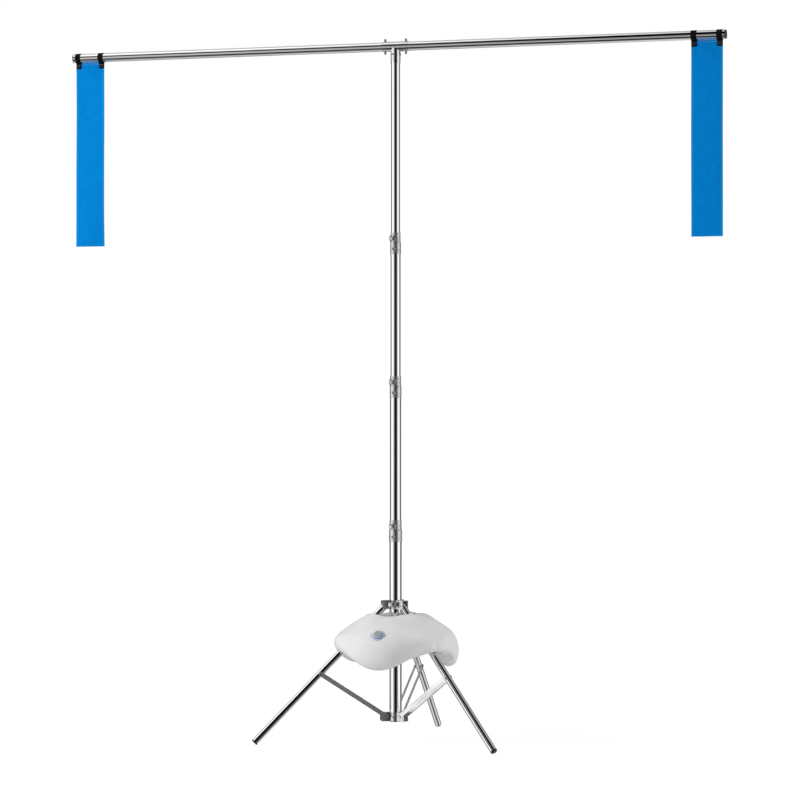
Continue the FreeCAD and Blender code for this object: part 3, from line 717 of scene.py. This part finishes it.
refined("lower_hub", hub_steel, 0.0004)
refined("upper_hub_pins", rivet_steel, 0.0002)
refined("lower_hub_pins", rivet_steel, 0.0002)
refined("lower_hub_rivets", rivet_steel, 0.0002)
rivet_hollow_shade("lower_hub_rivets")
strap_roughness = {"left": 0.42, "right": 0.16, "rear": 0.30}
for side in LEG_AZIMUTHS:
    leg = refined("leg_" + side, leg_chrome[side], 0.0002, above=50.0)
    true_round(leg, (leg_pivot(side), leg_direction(side)))
    run = middle("brace_rivets_" + side) - Vector((0, 0, middle("lower_hub_pins").z))
    run -= outward(LEG_AZIMUTHS[side]) * hub_pivot_reach
    strap = strap_steel("strap_" + side, run, strap_roughness[side])
    refined("brace_" + side, strap, 0.0003)
    refined("brace_rivets_" + side, rivet_steel, 0.0002)
    refined("leg_pin_" + side, rivet_steel, 0.0002)
    refined("foot_plug_" + side, black_plug, 0.0004)
for side in ("left", "right"):
    refined("snap_spring_" + side, spring_steel, 0.0001)
    refined("arm_cap_" + side, black_plug, 0.0003)
    for way in ("top", "bottom"):
        refined("snap_button_%s_%s" % (side, way), button_steel, 0.0003)
refined("mast_foot_plug", black_plug, 0.0003)
refined("top_tube_plug", black_plug, 0.0003)

# %% [markdown]
# ## Hanging cloths
# Each cloth is one layer of woven polyester. Its edges are folded over and sewn, deepest
# at the free end, and a band under the bar is folded double. The CAD solid gives the
# outline with the gaps for the webbing. A copy of it is cut into small cells, which then
# take the slight waves of a cloth that hangs from two corners. The weave, the seam
# lines and the folded band are in the material, because they have no height to speak of.
# The material also has a painted highlight on the folded band and the bar's painted
# shadow just under the top edge.

# %% Hanging cloths and their seams
cell = 0.006
side_seam = 0.0065
top_seam = 0.0072
tab_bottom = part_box("webbing_tabs_left")[0].z
tab_room = 0.0175
stitch_pitch = 0.0032
stitch_thread = 0.00035
lift = 0.00085
hem_lift = 0.00135


def smooth(value, low, high):
    """0 below low, 1 above high, smooth between."""
    share = min(1.0, max(0.0, (value - low) / (high - low)))
    return share * share * (3 - 2 * share)


def drift(place, low, high, phase):
    """How far a hanging cloth stands forward of flat at a place on it."""
    across = (place.x - (low.x + high.x) / 2) / ((high.x - low.x) / 2)
    down = high.z - place.z
    fall = smooth(down, 0.022, 0.16)
    wave = 0.0012 * math.sin(11.0 * down + phase) * fall
    cup = 0.0016 * (1 - across * across) * fall * math.cos(5.0 * down + phase)
    between_loops = max(0.0, 1 - (across / 0.6) ** 2)
    sag = 0.0012 * between_loops * smooth(down, 0.012, 0.03) * (1 - smooth(down, 0.03, 0.09))
    curl = 0.0020 * across * smooth(down, 0.40, 0.525) * math.cos(phase)
    return wave + cup - sag + curl


def hung(shape, low, high, phase):
    """Give a flat shape the drift of its cloth."""
    for vert in shape.verts:
        vert.co.y += drift(vert.co, low, high, phase)


def diced(shape, low, high):
    """Cut a thin shape into cells."""
    for axis in (ALONG_BAR, UP):
        start, end = low.dot(axis), high.dot(axis)
        count = max(2, round((end - start) / cell))
        for index in range(1, count):
            place = axis * (start + (end - start) * index / count)
            everything = shape.verts[:] + shape.edges[:] + shape.faces[:]
            bmesh.ops.bisect_plane(shape, geom=everything, dist=1e-6, plane_co=place, plane_no=axis)


def woven_cloth(name, low, high):
    """Blue polyester: plain weave, a double band at the top with a painted highlight, the bar's painted
    shadow under the top edge, and sewn edges.
    """
    finish = Finish(name, specular_ior_level=0.05)
    x, z = [finish.dot(finish.here(), axis) for axis in (ALONG_BAR, UP)]
    thread = 2 * math.pi / 0.0009
    warp = (x * thread).sine()
    weft = (z * thread).sine()
    weave = warp.most(weft) * 0.5 + 0.5
    uneven = finish.grain(None, 60, detail=3.0)
    fuzz = finish.grain(None, 2600, detail=2.0)
    from_side = (x - low.x).least(high.x - x)
    from_top = high.z - z
    side_line = 1.0 - abs(from_side - side_seam).above(0.0002, 0.0009)
    # The folded-double band is real; its lighter, greyer colour is a painted highlight on the fold.
    band = from_top.above(0.0012, 0.0022) * (1.0 - from_top.above(top_seam - 0.0006, top_seam + 0.0006))
    plain = finish.blend(uneven.above(0.35, 0.65), (0.0, 0.215, 0.63, 1), (0.0, 0.235, 0.68, 1))
    edged = finish.blend((1.0 - from_side.above(side_seam - 0.001, side_seam)) * 0.5, plain,
                         (0.012, 0.29, 0.75, 1))
    lined = finish.blend(side_line * 0.35, edged, (0.02, 0.26, 0.55, 1))
    banded = finish.blend(band * 0.85, lined, (0.045, 0.26, 0.62, 1))
    # Painted shadow of the bar: darker just under the top edge, fading out by 75 mm down.
    shaded = finish.blend((1.0 - from_top.above(0.006, 0.075)) * 0.25, banded, (0.0, 0.16, 0.48, 1))
    finish.feed("Base Color", finish.blend(weave * 0.12, shaded, (0.0, 0.17, 0.52, 1)))
    finish.feed("Roughness", 0.62 + 0.12 * fuzz + 0.06 * uneven)
    finish.bump(weave + 0.4 * fuzz - 1.5 * side_line, 0.25, 0.00012)
    return finish.material


def stitch_row(start, end, pitch, thread, low, high, phase, lift):
    """Row of thread stitches on both faces of a cloth, at a lift from its middle."""
    run = end - start
    count = max(1, int(run.length / pitch))
    shapes = []
    for index in range(count):
        centre = start + run * ((index + 0.5) / count)
        for face in (-1, 1):
            stitch = bmesh.new()
            bmesh.ops.create_uvsphere(stitch, u_segments=6, v_segments=4, radius=0.5)
            bmesh.ops.scale(stitch, vec=(thread, thread, pitch * 0.72), verts=stitch.verts)
            place = Vector((centre.x, face * lift, centre.z))
            place.y += drift(centre, low, high, phase)
            shapes.append(aimed(stitch, place, run))
    return shapes


blue_thread = Finish("blue_thread", roughness=0.8, specular_ior_level=0.05)
blue_thread.feed("Base Color", blue_thread.blend(blue_thread.grain(None, 3000), (0.0, 0.17, 0.5, 1),
                                                 (0.01, 0.25, 0.66, 1)))
phases = {"left": 0.6, "right": 2.1}
for side, phase in phases.items():
    node = "banner_" + side
    low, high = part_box(node)
    shape = copy_of(node)
    soften(shape, 0.0005, 2)
    diced(shape, low, high)
    hung(shape, low, high, phase)
    cloth = settle(node + "_cloth", shape, woven_cloth("blue_cloth_" + side, low, high), carrier_of(node),
                   (node,))
    hem_line = low.z + 0.0105
    band_line = high.z - top_seam
    seams = [(x, low.z + 0.013, x, tab_bottom - 0.001, lift) for x in (low.x + side_seam, high.x - side_seam)]
    seams.append((low.x + 0.002, hem_line, high.x - 0.002, hem_line, hem_lift))
    seams.append((low.x + tab_room, band_line, high.x - tab_room, band_line, lift))
    rows = []
    for start_x, start_z, end_x, end_z, height in seams:
        rows += stitch_row(Vector((start_x, 0, start_z)), Vector((end_x, 0, end_z)), stitch_pitch,
                           stitch_thread, low, high, phase, height)
    stitches = settle(node + "_stitches", joined(rows), blue_thread.material, carrier_of(node), (),
                      crease=80)
    print(node, "cells", len(cloth.data.polygons), "stitches", len(rows))

# %% [markdown]
# ## Webbing
# A loop is one length of webbing: it lies on the front of the cloth, goes up round the
# bar and comes down behind, and two rows of thick thread hold its ends. The path is
# drawn in the plane across the bar, its corners are rounded, and it is pulled out to the
# webbing's width and given its thickness. That is also how the real strap is bent. It
# swings with its cloth, so the band turns round the bar and stays joined to its ends.

# %% Webbing loops
def black_webbing():
    """Polypropylene webbing: ribs across, with painted shade between them, and fuzzy edges."""
    finish = Finish("black_webbing", specular_ior_level=0.15)
    x, z = [finish.dot(finish.here(), axis) for axis in (ALONG_BAR, UP)]
    rib = (z * (2 * math.pi / 0.0013)).sine() * (x * (2 * math.pi / 0.0022)).sine() * 0.5 + 0.5
    fuzz = finish.grain(None, 2400, detail=3.0)
    # Painted shade: the colour is darker between the ribs.
    finish.feed("Base Color", finish.blend(rib * 0.5 + fuzz * 0.3, grey(0.002), grey(0.007)))
    finish.feed("Roughness", 0.55 + 0.2 * fuzz)
    finish.bump(rib + 0.5 * fuzz, 0.35, 0.0002)
    return finish.material


def strap_round_bar(left_edge, width, loop_outside, thickness, tab_top, tab_end, cloth_half):
    """One webbing loop with its two sewn ends."""
    shape = bmesh.new()
    middle_radius = loop_outside - thickness / 2
    tab_place = cloth_half + thickness / 2
    leave = math.radians(24)
    behind, below = middle_radius * math.sin(leave), middle_radius * math.cos(leave)
    first = shape.verts.new((left_edge, -behind, bar_height - below))
    bmesh.ops.spin(shape, geom=[first], cent=(left_edge, 0, bar_height), axis=-ALONG_BAR, dvec=(0, 0, 0),
                   angle=2 * math.pi - 2 * leave, steps=40, use_duplicate=False)
    shape.verts.ensure_lookup_table()
    ends = [vert for vert in shape.verts if len(vert.link_edges) == 1]
    for end in ends:
        face = math.copysign(1, end.co.y)
        bend = shape.verts.new((left_edge, face * tab_place, tab_top - 0.0015))
        tip = shape.verts.new((left_edge, face * tab_place, tab_end))
        shape.edges.new((end, bend))
        shape.edges.new((bend, tip))
        bmesh.ops.bevel(shape, geom=[bend, end], offset=0.0011, offset_type="OFFSET", segments=4, profile=0.5,
                        affect="VERTICES", material=-1)
    path = shape.edges[:]
    for step in range(4):
        made = bmesh.ops.extrude_edge_only(shape, edges=path)["geom"]
        moved = [item for item in made if isinstance(item, bmesh.types.BMVert)]
        path = [item for item in made if isinstance(item, bmesh.types.BMEdge)]
        bmesh.ops.translate(shape, vec=ALONG_BAR * (width / 4), verts=moved)
        path = [edge for edge in path if all(vert in moved for vert in edge.verts)]
    bmesh.ops.recalc_face_normals(shape, faces=shape.faces)
    bmesh.ops.solidify(shape, geom=shape.faces[:], thickness=thickness)
    return shape


webbing = black_webbing()
grey_thread = Finish("grey_thread", roughness=0.6)
grey_thread.feed("Base Color", grey_thread.blend(grey_thread.grain(None, 3000), grey(0.22), grey(0.40)))
webbing_thickness = 0.0015
webbing_width = 0.016
for side, phase in phases.items():
    cloth_low, cloth_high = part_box("banner_" + side)
    loop_low, loop_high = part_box("webbing_loops_" + side)
    tabs_low, tabs_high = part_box("webbing_tabs_" + side)
    straps, rows = [], []
    for left_edge in (loop_low.x, loop_high.x - webbing_width):
        straps.append(strap_round_bar(left_edge, webbing_width, loop_high.z - bar_height, webbing_thickness,
                                      tabs_high.z, tabs_low.z, 0.0008))
        for line in (tabs_high.z - 0.005, tabs_low.z + 0.006):
            start = Vector((left_edge + 0.0015, 0, line))
            end = Vector((left_edge + webbing_width - 0.0015, 0, line))
            rows += stitch_row(start, end, 0.0026, 0.0009, cloth_low, cloth_high, phase, 0.0023)
    shape = joined(straps)
    soften(shape, 0.0004, 2, above=60)
    settle("webbing_" + side, shape, webbing, "cloth_" + side,
           ("webbing_loops_" + side, "webbing_tabs_" + side), crease=60)
    settle("webbing_stitches_" + side, joined(rows), grey_thread.material, "cloth_" + side, (),
           crease=80)
    print("webbing", side, "loops", len(straps), "stitches", len(rows))

# %% [markdown]
# ## Ballast bag
# The bag is a ring of soft white vinyl, filled through a valve and laid over the legs. It
# is blown up and weighs itself down, so it has no flat face and no sharp edge. The CAD
# solid has its size and its sag between the legs. A copy of it is remeshed evenly, and a
# short cloth simulation with pressure inside rounds it off as filling does. A cap on how
# far a point moves keeps it inside its place. After that the skin is shaped at a few
# listed places: filled out or drawn in as in the photograph, pressed in round the valve,
# raised a little over the right leg, and moved off the legs.

# %% Ballast bag
def vinyl():
    """Soft white vinyl: satin, faint leather grain, and painted shade darkening the wall of the hole round
    the mast.
    """
    finish = Finish("white_vinyl", coat_roughness=0.25)
    cells = finish.grain(None, 900, detail=3.0, roughness=0.6)
    cloudy = finish.grain(None, 22, detail=3.0).above(0.35, 0.7)
    rub = finish.grain(None, 110, detail=4.0).above(0.5, 0.75)
    level = finish.node("VectorMath", {"operation": "MULTIPLY"}, {0: finish.here(), 1: (1, 1, 0)})
    from_mast = finish.node("VectorMath", {"operation": "LENGTH"}, {0: level}, output="Value")
    # Painted shade: the vinyl turns dark grey on the wall of the hole round the mast, where the bag shades
    # itself.
    hole_shade = 1.0 - from_mast.above(bag_hole_radius + 0.001, bag_hole_radius + 0.006)
    unshaded_vinyl = finish.blend(cloudy, grey(0.75), (0.79, 0.79, 0.785, 1))
    finish.feed("Base Color", finish.blend(hole_shade * 0.85, unshaded_vinyl, grey(0.12)))
    finish.feed("Roughness", 0.42 + 0.10 * rub + 0.06 * cells)
    finish.feed("Coat Weight", 0.10 + 0.10 * rub)
    finish.bump(cells, 0.10, 0.00025)
    return finish.material


bag_hole_radius = 0.049
valve_outward = Vector((0, -0.753291, 0.657687))
valve_upward = Vector((0, 0.657687, 0.753291))
still_radius, free_radius = 0.020, 0.070
seat_radius, seat_fade, seat_edge = 0.0215, 0.026, 0.034
seat_slope = 0.40


def reach_of(node, direction):
    """Lowest and highest place of a CAD node along a direction."""
    places = [vert.co.dot(direction) for vert in nodes[node].data.vertices]
    return min(places), max(places)


valve_floor = reach_of("filler_valve", valve_outward)[0]
valve_middle = sum(reach_of("filler_valve", valve_upward)) / 2


def from_valve(place):
    """Distance of a place from the valve's axis."""
    return math.hypot(place.x, place.dot(valve_upward) - valve_middle)


def taken_in(piece):
    """Make the piece's mesh what its modifiers show, and drop them."""
    shown = piece.evaluated_get(bpy.context.evaluated_depsgraph_get())
    made = bpy.data.meshes.new_from_object(shown)
    piece.modifiers.clear()
    piece.data = made


def inflate(piece, cell_size, pressure, cap):
    """Round a closed skin off with air pressure, no point moving further than the cap."""
    remesh = piece.modifiers.new("even_cells", "REMESH")
    remesh.mode = "VOXEL"
    remesh.voxel_size = cell_size
    taken_in(piece)
    start = [vert.co.copy() for vert in piece.data.vertices]
    cloth = piece.modifiers.new("air", "CLOTH")
    cloth.settings.use_pressure = True
    cloth.settings.uniform_pressure_force = pressure
    cloth.settings.shrink_min = -0.02
    cloth.settings.effector_weights.gravity = 0.0
    cloth.settings.quality = 4
    cloth.collision_settings.use_collision = False
    cloth.point_cache.frame_start = 1
    cloth.point_cache.frame_end = 20
    for frame_number in range(1, 21):
        scene.frame_set(frame_number)
    taken_in(piece)
    for vert, origin in zip(piece.data.vertices, start):
        move = vert.co - origin
        reach = cap * (smooth(from_valve(origin), still_radius, free_radius) if origin.y < 0 else 1.0)
        vert.co = origin + move * min(1.0, reach / max(move.length, 1e-9))


def relax(piece, places):
    """Even out the skin round some places."""
    shape = bmesh.new()
    shape.from_mesh(piece.data)
    for right, toward, height, radius, _ in places:
        centre = camera_right * right + to_camera * toward + UP * height
        near = [vert for vert in shape.verts if (vert.co - centre).length < radius * 1.6]
        for step in range(12):
            bmesh.ops.smooth_vert(shape, verts=near, factor=0.5,
                                  use_axis_x=True, use_axis_y=True, use_axis_z=True)
    shape.to_mesh(piece.data)
    shape.free()


def fill_out(piece, places):
    """Push the skin out, or draw it in, round some places."""
    for right, toward, height, radius, amount in places:
        centre = camera_right * right + to_camera * toward + UP * height
        moves = [vert.normal * (amount * math.exp(-((vert.co - centre).length / radius) ** 2))
                 for vert in piece.data.vertices]
        for vert, move in zip(piece.data.vertices, moves):
            vert.co += move
        piece.data.update()


def seat_valve(piece):
    """Press the skin in round the valve, so its ring stands free."""
    for vert in piece.data.vertices:
        off_axis = from_valve(vert.co)
        height = vert.co.dot(valve_outward)
        allowed = valve_floor + 0.0012 + max(0.0, off_axis - seat_radius) * seat_slope
        if off_axis < seat_edge and allowed < height:
            share = 1 - smooth(off_axis, seat_fade, seat_edge)
            vert.co -= valve_outward * ((height - allowed) * share)


def from_line(place, start, along):
    """Shortest way from a line to a place."""
    spot = place - start
    return spot - along * spot.dot(along)


def drape_over_leg(piece, side):
    """Raise a soft ridge where the skin turns in over a ridged leg, and keep off each leg."""
    pivot, along = leg_pivot(side), leg_direction(side)
    leaves_at = pivot + along * ((leg_exit_height - pivot.z) / along.z) + to_camera * 0.014
    for vert in piece.data.vertices:
        if side == ridged_leg:
            off_leg = from_line(vert.co, pivot, along)
            away = (vert.co - leaves_at).length
            ridge = ridge_height * math.exp(-((away - ridge_reach) / ridge_spread) ** 2)
            ridge *= smooth(vert.co.z - leaves_at.z, 0.0, 0.016)
            ridge *= smooth(vert.normal.dot(off_leg.normalized()), 0.0, 0.4)
            ridge *= smooth((vert.co - leaves_at).dot(camera_right), -0.04, 0.02)
            vert.co += vert.normal * ridge
        off_leg = from_line(vert.co, pivot, along)
        if off_leg.length < leg_room:
            vert.co += off_leg.normalized() * (leg_room - off_leg.length)


leg_room = 0.0129
leg_exit_height = 0.25
ridged_leg = "right"
ridge_height, ridge_reach, ridge_spread = 0.0030, 0.030, 0.018
# places on the skin: right, toward the camera, up, radius, and how far it is pushed out
flank = (0.122, 0.020, 0.232, 0.030, 0.009)
under = (0.128, -0.020, 0.220, 0.026, 0.007)
shoulder = (0.080, -0.020, 0.345, 0.022, 0.005)
hollow = (0.129, -0.020, 0.329, 0.020, -0.004)
right_end = (0.165, -0.020, 0.270, 0.035, -0.003)


bag_low, bag_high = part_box("ballast_bag")
bag_shape = copy_of("ballast_bag")
bag_mesh = bpy.data.meshes.new("ballast_bag_vinyl")
bag_shape.to_mesh(bag_mesh)
bag_shape.free()
bag = bpy.data.objects.new("ballast_bag_vinyl", bag_mesh)
scene.collection.objects.link(bag)
inflate(bag, 0.004, 4.0, 0.004)
relax(bag, [flank])
fill_out(bag, [flank, under, shoulder, hollow, right_end])
seat_valve(bag)
for side in LEG_AZIMUTHS:
    drape_over_leg(bag, side)
bag.data.shade_smooth()
bag.data.materials.clear()
bag.data.materials.append(vinyl())
finer = bag.modifiers.new("finer", "SUBSURF")
finer.levels = finer.render_levels = 1
taken_in(bag)
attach(bag, "bag")
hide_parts("ballast_bag")
print("bag faces", len(bag.data.polygons))
places = [vert.co for vert in bag.data.vertices]
low, high = [Vector(pick(place[axis] for place in places) for axis in range(3)) for pick in (min, max)]
swell = [round(value * 1000, 1) for value in (*(bag_low - low), *(high - bag_high))]
print("bag swells past its CAD box by", swell)

# %% [markdown]
# ## Filler valve
# The valve is a soft translucent ring welded to the vinyl, with a stopper pushed into it.
# Both are copies of their CAD solids with softened edges. Two small ears on the ring are
# what the fingers hold while the stopper is pulled.

# %% Valve and stopper
def valve_plastic():
    """Soft pale blue vinyl, slightly see-through, with a painted shade line where the neck rises from the
    ring.
    """
    finish = Finish("valve_vinyl", transmission_weight=0.2, ior=1.5)
    marks = finish.grain(None, 400, detail=3.0)
    aside, upward = [finish.dot(finish.here(), axis) for axis in (ALONG_BAR, valve_upward)]
    off_axis = (aside * aside + (upward - valve_middle) * (upward - valve_middle)).math("SQRT")
    # Painted shade: a dark line in the corner where the neck meets the ring.
    root = 1.0 - abs(off_axis - 0.0133).above(0.0003, 0.0010)
    edge = off_axis.above(0.0162, 0.0168)
    pale = finish.blend(marks, (0.66, 0.80, 0.93, 1), (0.80, 0.89, 0.97, 1))
    edged = finish.blend(edge * 0.8, pale, (0.36, 0.54, 0.80, 1))
    finish.feed("Base Color", finish.blend(root * 0.9, edged, (0.14, 0.24, 0.42, 1)))
    finish.feed("Roughness", 0.22 + 0.12 * marks)
    finish.bump(marks, 0.1, 0.0002)
    return finish.material


refined("filler_valve", valve_plastic(), 0.0006, segments=3)
stopper_grey = moulded("stopper_grey", (0.33, 0.34, 0.35, 1), 0.4)
refined("valve_stopper", stopper_grey, 0.0005, segments=3)

# %% [markdown]
# ## Close
# The dressed object should fill the same box as the CAD part, give or take a cloth's
# drift, so its box is printed as the last line.

# %% Sizes and finish
low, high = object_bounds()
print("looks", [round(value, 4) for value in (*low, *high)])
